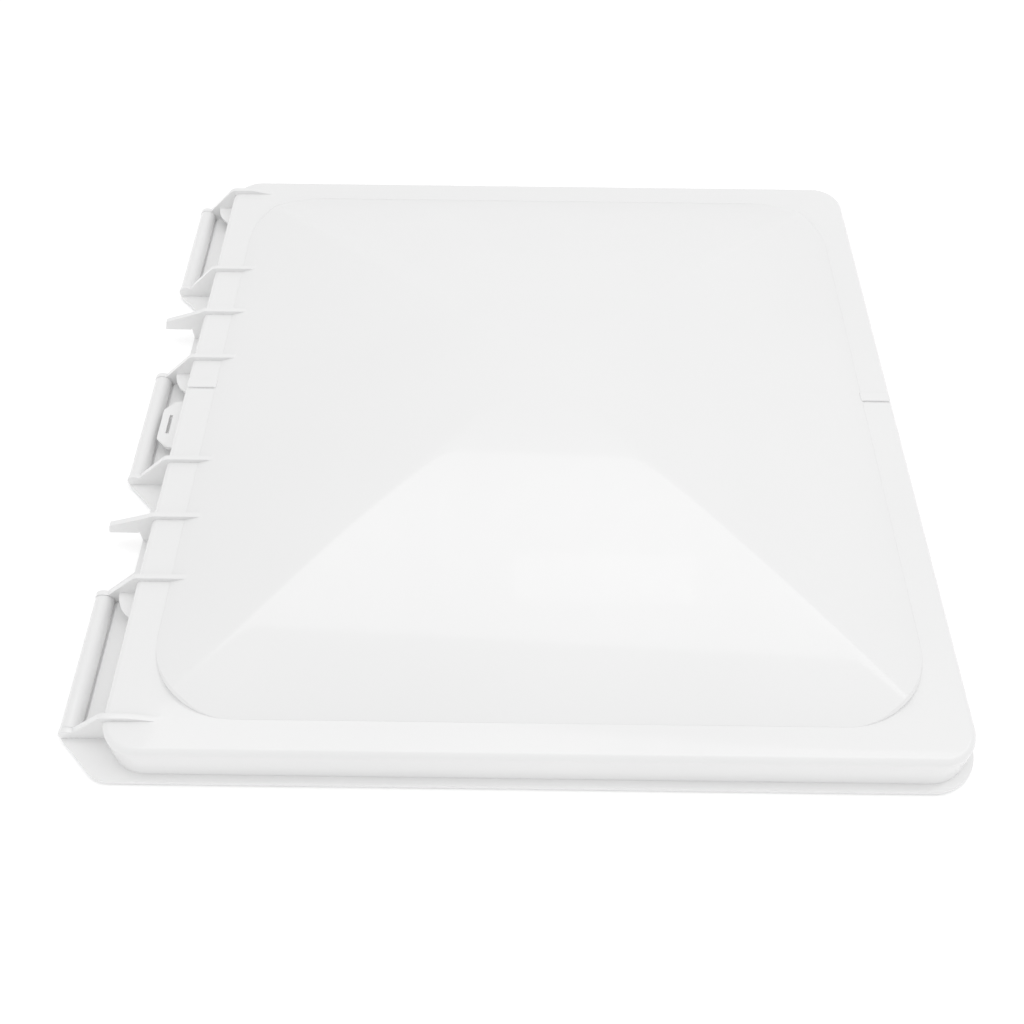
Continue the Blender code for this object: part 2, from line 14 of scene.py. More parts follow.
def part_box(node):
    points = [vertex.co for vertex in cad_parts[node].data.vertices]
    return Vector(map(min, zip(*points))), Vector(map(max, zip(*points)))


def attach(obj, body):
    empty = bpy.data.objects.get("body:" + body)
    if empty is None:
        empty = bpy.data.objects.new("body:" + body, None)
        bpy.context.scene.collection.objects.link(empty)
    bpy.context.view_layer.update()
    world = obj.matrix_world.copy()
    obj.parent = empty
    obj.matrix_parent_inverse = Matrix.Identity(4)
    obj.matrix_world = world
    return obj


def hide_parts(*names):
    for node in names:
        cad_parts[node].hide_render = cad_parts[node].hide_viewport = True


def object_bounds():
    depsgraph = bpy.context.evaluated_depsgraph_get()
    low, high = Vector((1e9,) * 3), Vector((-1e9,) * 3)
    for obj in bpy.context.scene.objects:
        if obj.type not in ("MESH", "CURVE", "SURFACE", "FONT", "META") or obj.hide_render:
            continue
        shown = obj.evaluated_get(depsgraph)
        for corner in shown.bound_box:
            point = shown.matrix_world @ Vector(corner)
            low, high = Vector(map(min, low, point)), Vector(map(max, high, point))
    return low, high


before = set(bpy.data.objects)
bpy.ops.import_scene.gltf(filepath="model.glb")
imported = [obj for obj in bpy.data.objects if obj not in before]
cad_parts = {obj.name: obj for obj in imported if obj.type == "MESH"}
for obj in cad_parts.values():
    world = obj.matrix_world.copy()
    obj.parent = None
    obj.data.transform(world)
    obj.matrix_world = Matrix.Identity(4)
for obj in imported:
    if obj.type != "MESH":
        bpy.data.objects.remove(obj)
CAD_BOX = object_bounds()

# Lid, as in the CAD
LIP_HALF = CAD_BOX[1].y
LID_X = CAD_BOX[1].x - LIP_HALF
RIM_TOP = 0.0235
RIM_HALF = 0.1970
SKIRT_HALF = 0.1984
RIM_CORNER = 0.018
EDGE_ROUND = 0.0035
WALL = 0.0025
LIP_THICK = 0.0030
LIP_CORNER = 0.022
LIP_BORE_HALF = 0.1966
DOME_HALF = 0.1800
DOME_CORNER = 0.042
DOME_RISE = 0.0390
DOME_POWER = 1.5
APEX_ROUND = 0.05
RIDGE_SOFT = 5.0
RIDGE_CRISP = 150.0
RIDGE_FADE = 1.5
FOOT_FILLET = 0.0010
FOOT_STEP = 0.0001

# Hinge side, as in the CAD
PITCH = 0.0365
FIN_THICK = 0.0028
FIN_PROUD = 0.0027
FIN_INNER_X = -0.1700
FIN_POINT = 0.0060
FIN_SINK = 0.0002
END_FIN_TAPER = 0.0200
HINGE_SHIFT = 0.0023
BAYS = {"front": HINGE_SHIFT - 4 * PITCH, "middle": HINGE_SHIFT, "rear": HINGE_SHIFT + 4 * PITCH}
FINGER_PLACES = (HINGE_SHIFT - 2 * PITCH, HINGE_SHIFT + 2 * PITCH)
HINGE_LIP_X = -0.2074
PLATE_EDGE_X = -0.2222
# The lid's union fails at some values of this edge, such as -0.2128, and then the lid is missing
FLOOR_EDGE_X = -0.2124
PLATE_BLEND = 0.0150
FINGER_TIP_X = -0.2222
FINGER_TIP_LOW = 0.0108
FINGER_TIP_HIGH = 0.0170
FINGER_TIP_BACK = 0.0019
TAB_LEVEL = 0.0100
TAB_THICK = 0.0020
TAB_REACH = 0.0100
TAB_LENGTH = 0.0165
LUG_REACH = 0.0118
LUG_LENGTH = 0.0330
LUG_CORNER = 0.0060
LUG_SLOT_X = -0.2052
LUG_SLOT = (0.0017, 0.0130)
ROD_X = -0.2175
ROD_Z = 0.0048
ROD_RADIUS = 0.0047
ROD_LAND = 0.0040
JOURNAL_RADIUS = 0.0030
POCKET_DEPTH = 0.0016
SNAP_MOUTH = 0.0046
GAP = 0.0003
ROD_END_PLAY = 0.8 * GAP

# Small moulded marks on the rim
BANDS = ((-1, 0.0200), (1, 0.0160))
BAND_WIDTH = 0.0062
BAND_PROUD = 0.0008
BAND_LINE = (0.0007, 0.0005)

# Foam seal
SEAL_OUTER = 0.1930
SEAL_OUTER_CORNER = 0.0140
SEAL_INNER = 0.1815
SEAL_INNER_CORNER = 0.0060

EDGE_BREAK = 0.00035


# ---------------------------------------------------------------- outlines

def arc(centre, radius, start, end, steps):
    """Points on an arc from start to end degrees, both included."""
    turns = [radians(start + (end - start) * i / steps) for i in range(steps + 1)]
    return [(centre[0] + radius * cos(a), centre[1] + radius * sin(a)) for a in turns]


def rounded(corners, radius, steps=4):
    """A closed outline with an arc at each corner; radius is one number, or one for each corner."""
    count = len(corners)
    radii = radius if isinstance(radius, (list, tuple)) else [radius] * count
    points = []
    for i, corner in enumerate(corners):
        here = Vector(corner)
        before = Vector(corners[i - 1]) - here
        after = Vector(corners[(i + 1) % count]) - here
        if radii[i] == 0:
            points.append(corner)
            continue
        half_angle = before.angle(after) / 2
        reach = min(radii[i] / tan(half_angle), 0.49 * before.length, 0.49 * after.length)
        centre = here + (before.normalized() + after.normalized()).normalized() * reach / cos(half_angle)
        start = here + before.normalized() * reach - centre
        end = here + after.normalized() * reach - centre
        sweep = atan2(start.x * end.y - start.y * end.x, start.dot(end))
        for k in range(steps + 1):
            turned = Matrix.Rotation(sweep * k / steps, 2) @ start
            points.append(tuple(centre + turned))
    return points


def edge_reach(slope, half, corner):
    """How far out along the ray (1, slope) a rounded square's edge is."""
    centre = half - corner
    if slope * half <= centre:
        return half
    a = 1 + slope * slope
    b = centre * (1 + slope)
    return (b + sqrt(b * b - a * (2 * centre * centre - corner * corner))) / a


def square_rays():
    """Unit-square rays, counter-clockwise from +X, close together near the diagonals."""
    wide = [0.75 * i / 14 for i in range(14)]
    slopes = wide + [1 - 0.25 * (1 - i / 26) ** 1.6 for i in range(27)]
    quarter = [(1.0, s, s) for s in slopes] + [(s, 1.0, s) for s in reversed(slopes[:-1])]
    rays = []
    for turn in range(4):
        for x, y, slope in quarter[:-1]:
            for _ in range(turn):
                x, y = -y, x
            rays.append((x, y, slope))
    return rays


RAYS = square_rays()
LENGTHWAYS = Matrix.Rotation(pi / 2, 4, "Z") @ Matrix.Rotation(pi / 2, 4, "X")


# ---------------------------------------------------------------- meshes

def object_from(name, bm):
    """An object at the origin, its place in its mesh, with its faces turned outwards."""
    bmesh.ops.recalc_face_normals(bm, faces=bm.faces)
    mesh = bpy.data.meshes.new(name)
    bm.to_mesh(mesh)
    bm.free()
    thing = bpy.data.objects.new(name, mesh)
    bpy.context.scene.collection.objects.link(thing)
    return thing


def loft(name, rings, ring_of_rings=False):
    """A closed body through rings of points. A ring of one point closes it in a fan, and others get a cap."""
    bm = bmesh.new()
    made = [[bm.verts.new(point) for point in ring] for ring in rings]
    pairs = list(zip(made, made[1:]))
    if ring_of_rings:
        pairs.append((made[-1], made[0]))
    for one, other in pairs:
        count = max(len(one), len(other))
        for i in range(count):
            j = (i + 1) % count
            face = [one[i % len(one)], one[j % len(one)], other[j % len(other)], other[i % len(other)]]
            bm.faces.new(list(dict.fromkeys(face)))
    if not ring_of_rings:
        for end in (made[0], made[-1]):
            if len(end) > 1:
                bm.faces.new(end)
    return object_from(name, bm)


def turned(name, profile, start, direction, sides=48, ring_of_rings=False):
    """A lathe shape: profile is (radius, distance along direction from start)."""
    along = Vector(direction).normalized()
    across = along.orthogonal().normalized()
    up = along.cross(across)
    rings = []
    for radius, distance in profile:
        centre = Vector(start) + along * distance
        if radius == 0:
            rings.append([centre])
            continue
        turns = [2 * pi * i / sides for i in range(sides)]
        rings.append([centre + (across * cos(a) + up * sin(a)) * radius for a in turns])
    return loft(name, rings, ring_of_rings)


def apply_modifiers(thing):
    graph = bpy.context.evaluated_depsgraph_get()
    mesh = bpy.data.meshes.new_from_object(thing.evaluated_get(graph))
    thing.modifiers.clear()
    thing.data = mesh


def bevel(thing, width, segments=2, angle=30.0):
    """Rounds the edges that are sharper than the angle."""
    rounding = thing.modifiers.new("edge_break", "BEVEL")
    rounding.width = width
    rounding.segments = segments
    rounding.limit_method = "ANGLE"
    rounding.angle_limit = radians(angle)
    rounding.use_clamp_overlap = True
    apply_modifiers(thing)


def drawn(name, outlines, low, high, place=Matrix.Identity(4), edge=EDGE_BREAK):
    """A flat outline, with holes if more than one is given, drawn out from low to high along its own Z."""
    curve = bpy.data.curves.new(name, "CURVE")
    curve.dimensions = "2D"
    curve.fill_mode = "BOTH"
    curve.extrude = (high - low) / 2
    for outline in outlines:
        spline = curve.splines.new("POLY")
        spline.points.add(len(outline) - 1)
        for point, (x, y) in zip(spline.points, outline):
            point.co = (x, y, 0.0, 1.0)
        spline.use_cyclic_u = True
    sheet = bpy.data.objects.new("sheet", curve)
    sheet_mesh = bpy.data.meshes.new_from_object(sheet)
    bpy.data.objects.remove(sheet)
    bm = bmesh.new()
    bm.from_mesh(sheet_mesh)
    bmesh.ops.remove_doubles(bm, verts=bm.verts, dist=0.000005)
    bmesh.ops.dissolve_limit(bm, angle_limit=radians(0.5), verts=bm.verts, edges=bm.edges)
    middle = Matrix.Translation((0.0, 0.0, (low + high) / 2))
    bmesh.ops.transform(bm, matrix=place @ middle, verts=bm.verts)
    thing = object_from(name, bm)
    if edge:
        bevel(thing, edge)
    return thing


def combine(target, others, operation):
    """Joins others to target, or cuts them from it, one after another, and removes them."""
    for other in others:
        modifier = target.modifiers.new(operation.lower(), "BOOLEAN")
        modifier.operation = operation
        modifier.solver = "EXACT"
        modifier.object = other
        apply_modifiers(target)
        bpy.data.objects.remove(other, do_unlink=True)
    return target


def gather(things):
    """One object from several that stand clear of one another, so that a single Boolean can use them all."""
    bm = bmesh.new()
    for thing in things:
        bm.from_mesh(thing.data)
        bpy.data.objects.remove(thing, do_unlink=True)
    return object_from("gathered", bm)


def shade(thing, angle=32.0):
    """Smooth shading with weighted normals, kept sharp over the angle."""
    thing.data.shade_smooth()
    thing.data.set_sharp_from_angle(angle=radians(angle))
    weighted = thing.modifiers.new("weighted", "WEIGHTED_NORMAL")
    weighted.keep_sharp = True
    weighted.weight = 50


def shift(thing, x=LID_X):
    """From the lid's own centre to the frame's."""
    thing.data.transform(Matrix.Translation((x, 0.0, 0.0)))
    return thing


def piece(thing, body, slot, material, *replaced):
    """Gives a finished mesh its material and its place in the frame."""
    thing.data.materials.clear()
    thing.data.materials.append(material)
    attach(thing, body)
    if replaced:
        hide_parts(*replaced)
    return thing


# ---------------------------------------------------------------- materials

class Surface:
    """A Principled material whose colour, roughness and bump come from noise in object space."""

    def __init__(self, name, metallic=0.0, **values):
        self.material = bpy.data.materials.new(name)
        self.material.use_nodes = True
        self.nodes = self.material.node_tree.nodes
        self.links = self.material.node_tree.links
        self.shader = self.nodes["Principled BSDF"]
        self.shader.inputs["Metallic"].default_value = metallic
        for socket, value in values.items():
            self.shader.inputs[socket.replace("_", " ")].default_value = value
        self.place = self.nodes.new("ShaderNodeTexCoord").outputs["Object"]

    def stretched(self, scale):
        """Object space stretched by a factor along each axis."""
        mapping = self.nodes.new("ShaderNodeMapping")
        mapping.inputs["Scale"].default_value = scale
        self.links.new(self.place, mapping.inputs["Vector"])
        return mapping.outputs["Vector"]

    def noise(self, scale, detail=2.0, space=None, distortion=0.0):
        node = self.nodes.new("ShaderNodeTexNoise")
        node.inputs["Scale"].default_value = scale
        node.inputs["Detail"].default_value = detail
        node.inputs["Distortion"].default_value = distortion
        self.links.new(space or self.place, node.inputs["Vector"])
        return node.outputs["Fac"]

    def cells(self, scale, output="Distance", feature="F1"):
        node = self.nodes.new("ShaderNodeTexVoronoi")
        node.feature = feature
        node.inputs["Scale"].default_value = scale
        self.links.new(self.place, node.inputs["Vector"])
        return node.outputs[output]

    def spread(self, source, low, high, from_low=0.3, from_high=0.7):
        node = self.nodes.new("ShaderNodeMapRange")
        node.inputs["From Min"].default_value = from_low
        node.inputs["From Max"].default_value = from_high
        node.inputs["To Min"].default_value = low
        node.inputs["To Max"].default_value = high
        self.links.new(source, node.inputs["Value"])
        return node.outputs["Result"]

    def blend(self, source, low, high, from_low=0.3, from_high=0.7):
        """A colour between low and high."""
        ramp = self.nodes.new("ShaderNodeValToRGB")
        ramp.color_ramp.elements[0].position = from_low
        ramp.color_ramp.elements[1].position = from_high
        ramp.color_ramp.elements[0].color = (*low, 1.0)
        ramp.color_ramp.elements[1].color = (*high, 1.0)
        self.links.new(source, ramp.inputs["Fac"])
        return ramp.outputs["Color"]

    def colour(self, source):
        self.links.new(source, self.shader.inputs["Base Color"])

    def roughness(self, source):
        self.links.new(source, self.shader.inputs["Roughness"])

    def bump(self, *layers):
        """Bumps of (height source, depth in metres), laid one on the other."""
        normal = None
        for source, depth in layers:
            node = self.nodes.new("ShaderNodeBump")
            node.inputs["Distance"].default_value = depth
            self.links.new(source, node.inputs["Height"])
            if normal is not None:
                self.links.new(normal, node.inputs["Normal"])
            normal = node.outputs["Normal"]
        self.links.new(normal, self.shader.inputs["Normal"])


def moulded_white(name, tone, gloss):
    """Injection-moulded white polypropylene: a satin gloss with a faint orange peel and slow sink marks."""
    low = tuple(c * 0.985 for c in tone)
    made = Surface(name, Specular_IOR_Level=0.5, Coat_Weight=0.5, Coat_Roughness=0.05)
    made.colour(made.blend(made.noise(9.0, 3.0), low, tone))
    made.roughness(made.spread(made.noise(60.0, 4.0), gloss - 0.02, gloss + 0.05))
    peel = made.noise(420.0, 2.0)
    slow = made.noise(14.0, 1.0)
    made.bump((slow, 0.00010), (peel, 0.0000035))
    made.shader.inputs["Subsurface Weight"].default_value = 0.06
    made.shader.inputs["Subsurface Radius"].default_value = (0.004, 0.004, 0.004)
    made.shader.inputs["Subsurface Scale"].default_value = 0.5
    return made.material


def closed_cell_foam():
    """Dark neoprene foam with a fine open skin of small cells."""
    made = Surface("closed_cell_foam", Specular_IOR_Level=0.25, Sheen_Weight=0.25, Sheen_Roughness=0.6)
    cells = made.cells(1500.0)
    fine = made.noise(3500.0, 3.0)
    made.colour(made.blend(cells, (0.020, 0.020, 0.022), (0.075, 0.075, 0.080), 0.1, 0.6))
    made.roughness(made.spread(fine, 0.88, 0.99))
    made.bump((made.noise(120.0, 2.0), 0.0004), (cells, 0.0003), (fine, 0.0001))
    return made.material


def galvanised_sheet():
    """Hot-dip galvanised sheet: zinc spangle, with bright and dull crystals and fine rolling lines."""
    made = Surface("galvanised_sheet", metallic=1.0)
    crystals = made.cells(140.0, "Color")
    grey = made.nodes.new("ShaderNodeRGBToBW")
    made.links.new(crystals, grey.inputs["Color"])
    tone = grey.outputs["Val"]
    made.colour(made.blend(tone, (0.50, 0.52, 0.54), (0.74, 0.76, 0.78), 0.15, 0.85))
    made.roughness(made.spread(tone, 0.30, 0.52, 0.15, 0.85))
    lines = made.noise(900.0, 3.0, made.stretched((0.04, 1.0, 1.0)))
    made.bump((tone, 0.00002), (lines, 0.000006))
    return made.material


def zinc_plate(name, tone):
    """Bright zinc plate over a pressed or headed blank: slight mottling and small handling marks."""
    made = Surface(name, metallic=1.0)
    mottle = made.noise(700.0, 4.0)
    made.colour(made.blend(mottle, tuple(c * 0.86 for c in tone), tone))
    made.roughness(made.spread(made.noise(1400.0, 3.0), 0.20, 0.38))
    made.bump((made.noise(2600.0, 2.0), 0.000006))
    return made.material


def natural_nylon():
    """Undyed nylon: slightly yellow, waxy, a little translucent, with flow lines from the gate."""
    made = Surface("natural_nylon", Specular_IOR_Level=0.45)
    flow = made.noise(160.0, 3.0, made.stretched((0.3, 1.0, 1.0)), 1.5)
    made.colour(made.blend(flow, (0.74, 0.70, 0.60), (0.82, 0.79, 0.70)))
    made.roughness(made.spread(made.noise(500.0, 3.0), 0.36, 0.50))
    made.bump((flow, 0.00002), (made.noise(1800.0, 2.0), 0.000006))
    made.shader.inputs["Subsurface Weight"].default_value = 0.25
    made.shader.inputs["Subsurface Radius"].default_value = (0.003, 0.0025, 0.0018)
    made.shader.inputs["Subsurface Scale"].default_value = 0.6
    return made.material


def turned_steel():
    """Bright drawn bar, turned: fine rings round the pin's axis."""
    made = Surface("turned_steel", metallic=1.0)
    rings = made.noise(5200.0, 3.0, made.stretched((0.02, 1.0, 0.02)))
    made.colour(made.blend(made.noise(300.0, 3.0), (0.50, 0.50, 0.51), (0.66, 0.66, 0.67)))
    made.roughness(made.spread(rings, 0.16, 0.32))
    made.bump((rings, 0.000008))
    return made.material


def spring_steel():
    """Oiled black spring steel, rubbed bright in places."""
    made = Surface("spring_steel", metallic=1.0)
    rub = made.noise(900.0, 4.0)
    made.colour(made.blend(rub, (0.060, 0.062, 0.070), (0.20, 0.20, 0.21), 0.45, 0.75))
    made.roughness(made.spread(made.noise(1500.0, 3.0), 0.28, 0.46))
    made.bump((made.noise(2400.0, 2.0), 0.000008))
    return made.material


# ---------------------------------------------------------------- the moulded lid

def dome_height(x, y):
    """Height of the dome over the rim. Its ridges are crisp at the foot and melt into the crown."""
    long, short = max(abs(x), abs(y)), min(abs(x), abs(y))
    if long == 0:
        return DOME_RISE * (1 - APEX_ROUND**DOME_POWER)
    out = min(long / DOME_HALF, 1.0)
    sharpness = RIDGE_SOFT + (RIDGE_CRISP - RIDGE_SOFT) * out**RIDGE_FADE
    out *= (1 + (short / long) ** sharpness) ** (1 / sharpness)
    out = hypot(out, APEX_ROUND * (1 - out))
    return DOME_RISE * (1 - min(out, 1.0) ** DOME_POWER)


def flat_ring(half, corner, z):
    reach = [edge_reach(slope, half, corner) for _, _, slope in RAYS]
    return [(x * r, y * r, z) for (x, y, _), r in zip(RAYS, reach)]


def shell_surface(inset, skirt_steps, edge_steps, dome_steps):
    """Rings of the lid's skin from the skirt's foot to the crown, the whole skin moved inwards by inset."""
    top = RIM_TOP - inset
    rings = []
    for i in range(skirt_steps):
        share = i / skirt_steps
        half = SKIRT_HALF - inset + (RIM_HALF - SKIRT_HALF) * share
        z = LIP_THICK / 3 + (RIM_TOP - EDGE_ROUND - LIP_THICK / 3) * share
        rings.append(flat_ring(half, RIM_CORNER - inset + (1 - share) * (SKIRT_HALF - RIM_HALF), z))
    bend = max(EDGE_ROUND - inset, EDGE_ROUND / 4)
    half, corner = RIM_HALF - inset, RIM_CORNER - inset
    for i in range(edge_steps + 1):
        turn = radians(90 * i / edge_steps)
        back = bend * (1 - cos(turn))
        rings.append(flat_ring(half - back, corner - back, top - bend * (1 - sin(turn))))
    foot_half, foot_corner = DOME_HALF - inset, DOME_CORNER - inset
    foot = [edge_reach(slope, foot_half, foot_corner) for _, _, slope in RAYS]
    slant = 1.05 * inset
    height = [RIM_TOP + dome_height(x * r, y * r) - slant - top for (x, y, _), r in zip(RAYS, foot)]
    rise = [max(h, FOOT_STEP) for h in height]
    fillet = [min(FOOT_FILLET, 0.45 * h) for h in rise]
    inner = [(x * (r + f), y * (r + f), top) for (x, y, _), r, f in zip(RAYS, foot, fillet)]
    outer = rings[-1]
    for share in (0.25, 0.5, 0.75):
        rings.append([tuple(a[k] + (b[k] - a[k]) * share for k in range(3)) for a, b in zip(outer, inner)])
    for turn in (0, 30, 60, 90):
        out, up = 1 - sin(radians(turn)), 1 - cos(radians(turn))
        rings.append([
            (x * (r + f * out), y * (r + f * out), top + f * up)
            for (x, y, _), r, f in zip(RAYS, foot, fillet)
        ])
    for turn in (0, 25, 50, 75):
        back, down = 1 - cos(radians(turn)), 1 - sin(radians(turn))
        rings.append([
            (x * (r - f * back), y * (r - f * back), top + h - f * down)
            for (x, y, _), r, f, h in zip(RAYS, foot, fillet, rise)
        ])
    for i in range(dome_steps):
        share = (1 - i / dome_steps) ** 1.15
        ring = []
        for (x, y, _), r, f in zip(RAYS, foot, fillet):
            px, py = x * (r - f) * share, y * (r - f) * share
            ring.append((px, py, RIM_TOP + dome_height(px, py) - slant))
        rings.append(ring)
    rings.append([(0.0, 0.0, RIM_TOP + dome_height(0.0, 0.0) - inset)])
    return rings


def make_shell():
    """Dome, rim and skirt as one skin of even thickness."""
    outside = shell_surface(0.0, 6, 8, 84)
    inside = shell_surface(WALL, 3, 3, 40)
    bm = bmesh.new()
    feet = []
    for rings in (outside, inside):
        made = [[bm.verts.new(point) for point in ring] for ring in rings]
        feet.append(made[0])
        for low, high in zip(made, made[1:]):
            for i in range(len(low)):
                j = (i + 1) % len(low)
                corners = [low[i], low[j], high[j % len(high)], high[i % len(high)]]
                bm.faces.new(list(dict.fromkeys(corners)))
    for i in range(len(RAYS)):
        j = (i + 1) % len(RAYS)
        bm.faces.new((feet[0][i], feet[0][j], feet[1][j], feet[1][i]))
    return object_from("lid_moulding", bm)


def bay_fins(centre):
    return centre - PITCH, centre + PITCH


def plate_edge(fin, way):
    """The floor plate's edge about a fin, from the lip out to the bay; way points away from the bay."""
    face = fin + way * FIN_THICK / 2
    run = HINGE_LIP_X - PLATE_EDGE_X
    return [(HINGE_LIP_X, face + way * run), (PLATE_EDGE_X, face), (PLATE_EDGE_X, fin), (FLOOR_EDGE_X, fin)]


def plate_corner(end_fin, way):
    """The rounded corner between an end plate's slanting edge and the lip's side; way is -1 at the front."""
    x = PLATE_EDGE_X + LIP_HALF - abs(end_fin) - FIN_THICK / 2 + PLATE_BLEND * tan(radians(22.5))
    y = way * (LIP_HALF - PLATE_BLEND)
    start = 90 if way > 0 else 225
    return arc((x, y), PLATE_BLEND, start, start + 45, 8)


def make_lip():
    """The lip with its floor plates, open in the middle."""
    inner = LIP_HALF - LIP_CORNER
    points = arc((inner, -inner), LIP_CORNER, -90, 0, 16) + arc((inner, inner), LIP_CORNER, 0, 90, 16)
    hinge_side = []
    for place in ("rear", "middle", "front"):
        front, rear = bay_fins(BAYS[place])
        hinge_side += plate_edge(rear, 1) + plate_edge(front, -1)[::-1]
    rear_corner = plate_corner(bay_fins(BAYS["rear"])[1], 1)
    front_corner = plate_corner(bay_fins(BAYS["front"])[0], -1)
    bore = [(x, y) for x, y, _ in flat_ring(LIP_BORE_HALF, RIM_CORNER, 0.0)[::2]]
    outline = points + rear_corner + hinge_side[1:-1] + front_corner
    return drawn("lip", [outline, bore], 0.0, LIP_THICK, edge=0.0006)


def upright(name, outline, y):
    """A plate standing square to the hinge: outline is (x, z), centred at y."""
    place = Matrix.Translation((0.0, y, 0.0)) @ Matrix.Rotation(radians(90), 4, "X")
    return drawn(name, [outline], -FIN_THICK / 2, FIN_THICK / 2, place)


def rib_back(taper):
    """The part of a fin that crosses the rim and goes down inside the skirt. Its inner end is a point."""
    top, under = RIM_TOP + FIN_PROUD, RIM_TOP - WALL / 2
    bend = rounded([(-0.2080, top - 0.0105), (-RIM_HALF, top), (FIN_INNER_X, top)], [0, 0.006, 0], 6)[1:-1]
    tip = [(FIN_INNER_X + FIN_POINT - taper, top)]
    tip += [(FIN_INNER_X - FIN_POINT + taper / 4, RIM_TOP - FIN_SINK)]
    inside = [(-DOME_HALF, under), (-RIM_HALF + WALL / 2, under)]
    return bend + tip + inside + [(-SKIRT_HALF + WALL / 2, LIP_THICK / 3)]


def make_fin(y, taper):
    """A gusset fin: level over the rim, sloping down to the rod and rounded about it."""
    around = ROD_RADIUS + GAP
    end = arc((ROD_X, ROD_Z), around, 60, 237, 20)
    return upright("fin", rib_back(taper) + end[::-1], y)


def make_finger(y):
    """A pointed finger on a web that stands on the lip."""
    web_x = HINGE_LIP_X + 0.0006
    tip = rounded([
        (web_x, FINGER_TIP_LOW),
        (FINGER_TIP_X, FINGER_TIP_LOW),
        (FINGER_TIP_X + FINGER_TIP_BACK, FINGER_TIP_HIGH),
        (-RIM_HALF, RIM_TOP + FIN_PROUD),
    ], [0.0015, 0.0006, 0.0008, 0], 4)[:-1]
    return upright("finger", rib_back(FIN_POINT) + [(web_x, LIP_THICK / 3)] + tip, y)


def make_tab(centre):
    """The flat tab beside a bay's rear fin: a quarter of an ellipse."""
    fin = bay_fins(centre)[1]
    root = -RIM_HALF + WALL / 2
    reach = root + SKIRT_HALF + TAB_REACH
    turns = [radians(90 * i / 16) for i in range(17)]
    outline = [(root, fin)] + [(root - reach * cos(a), fin - TAB_LENGTH * sin(a)) for a in turns]
    return drawn("tab", [outline], TAB_LEVEL, TAB_LEVEL + TAB_THICK)


def make_lug():
    """The slotted lug in the middle bay, with its outer corners cut off."""
    root = -RIM_HALF + WALL / 2
    out = -SKIRT_HALF - LUG_REACH
    half = LUG_LENGTH / 2
    corners = [(root, -half), (root, half), (out + LUG_CORNER, half), (out, half - LUG_CORNER)]
    corners += [(out, -half + LUG_CORNER), (out + LUG_CORNER, -half)]
    outline = rounded(corners, [0, 0, 0.003, 0.003, 0.003, 0.003], 5)
    wide, long = LUG_SLOT[0] / 2, LUG_SLOT[1] / 2
    slot = [(LUG_SLOT_X + x * wide, y * long) for x, y in ((-1, -1), (1, -1), (1, 1), (-1, 1))]
    return drawn("lug", [outline, slot], TAB_LEVEL, TAB_LEVEL + TAB_THICK, edge=0.00025)


def make_band(way, y):
    """A faintly raised band that crosses the rim on one side, from its edge to the dome's foot."""
    near, far = DOME_HALF - 0.0008, RIM_HALF - EDGE_ROUND * 0.4
    corners = [(way * near, y - BAND_WIDTH / 2), (way * far, y - BAND_WIDTH / 2)]
    corners += [(way * far, y + BAND_WIDTH / 2), (way * near, y + BAND_WIDTH / 2)]
    outline = rounded(corners, [0, 0.0015, 0.0015, 0], 4)
    return drawn("band", [outline], RIM_TOP - WALL / 2, RIM_TOP + BAND_PROUD, edge=0.0006)


def band_line(way, y):
    """The fine groove along a band's front edge."""
    wide, deep = BAND_LINE
    near, far = sorted((way * (DOME_HALF + 0.0004), way * (RIM_HALF - EDGE_ROUND * 0.6)))
    front = y - BAND_WIDTH / 2
    corners = [(near, front - wide), (far, front - wide), (far, front + wide / 5), (near, front + wide / 5)]
    return drawn("band_line", [corners], RIM_TOP - deep, RIM_TOP + 2 * BAND_PROUD, edge=0)


def make_boss(x, y):
    """A round boss under the dome, a little tapered, with the screw's pilot hole."""
    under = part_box("lift_rail")[1].z + GAP
    top = RIM_TOP + dome_height(x, y) - WALL / 2
    profile = [(0, top), (0.0056, top), (0.0050, under + 0.0004), (0.0047, under), (0.0025, under)]
    profile += [(0.0022, under + 0.0004), (0.0022, under + 0.0105), (0, under + 0.0115)]
    return turned("boss", profile, (x, y, 0.0), (0, 0, 1), 40)


def make_pockets():
    """Blind round pockets for the rods' journals, each open downwards through a narrower snap mouth."""
    cutters = []
    for centre in BAYS.values():
        front, rear = bay_fins(centre)
        for face, way in ((front + FIN_THICK / 2, -1), (rear - FIN_THICK / 2, 1)):
            ends = sorted((face - way * FIN_THICK, face + way * POCKET_DEPTH))
            mouth = SNAP_MOUTH / 2
            seat = JOURNAL_RADIUS + GAP
            side = degrees(atan2(sqrt(seat**2 - mouth**2), mouth))
            outline = arc((0.0, 0.0), seat, -side, 180 + side, 28)
            outline += [(-mouth, -2 * ROD_Z), (mouth, -2 * ROD_Z)]
            place = Matrix.Translation((ROD_X, 0.0, ROD_Z)) @ Matrix.Rotation(radians(90), 4, "X")
            cutters.append(drawn("pocket", [outline], -ends[1], -ends[0], place, edge=0))
    return cutters


def make_lid(material):
    """The whole moulding, joined into one body."""
    hinge_edge = []
    for centre in BAYS.values():
        for fin in bay_fins(centre):
            at_end = abs(fin) > DOME_HALF
            hinge_edge.append(make_fin(fin, END_FIN_TAPER if at_end else FIN_POINT))
        hinge_edge.append(make_tab(centre))
    hinge_edge += [make_finger(y) for y in FINGER_PLACES]
    lip = combine(make_lip(), hinge_edge, "UNION")
    bosses = [make_boss(x - LID_X, y) for x, y in screw_places()]
    lid = make_shell()
    bands = [make_band(way, y) for way, y in BANDS]
    combine(lid, [gather([lip, make_lug()] + bands + bosses)], "UNION")
    combine(lid, [gather(make_pockets() + [band_line(way, y) for way, y in BANDS])], "DIFFERENCE")
    shade(lid, 28.0)
    piece(shift(lid), "lid", "lid", material, "lid_shell")


# ---------------------------------------------------------------- rods and seals

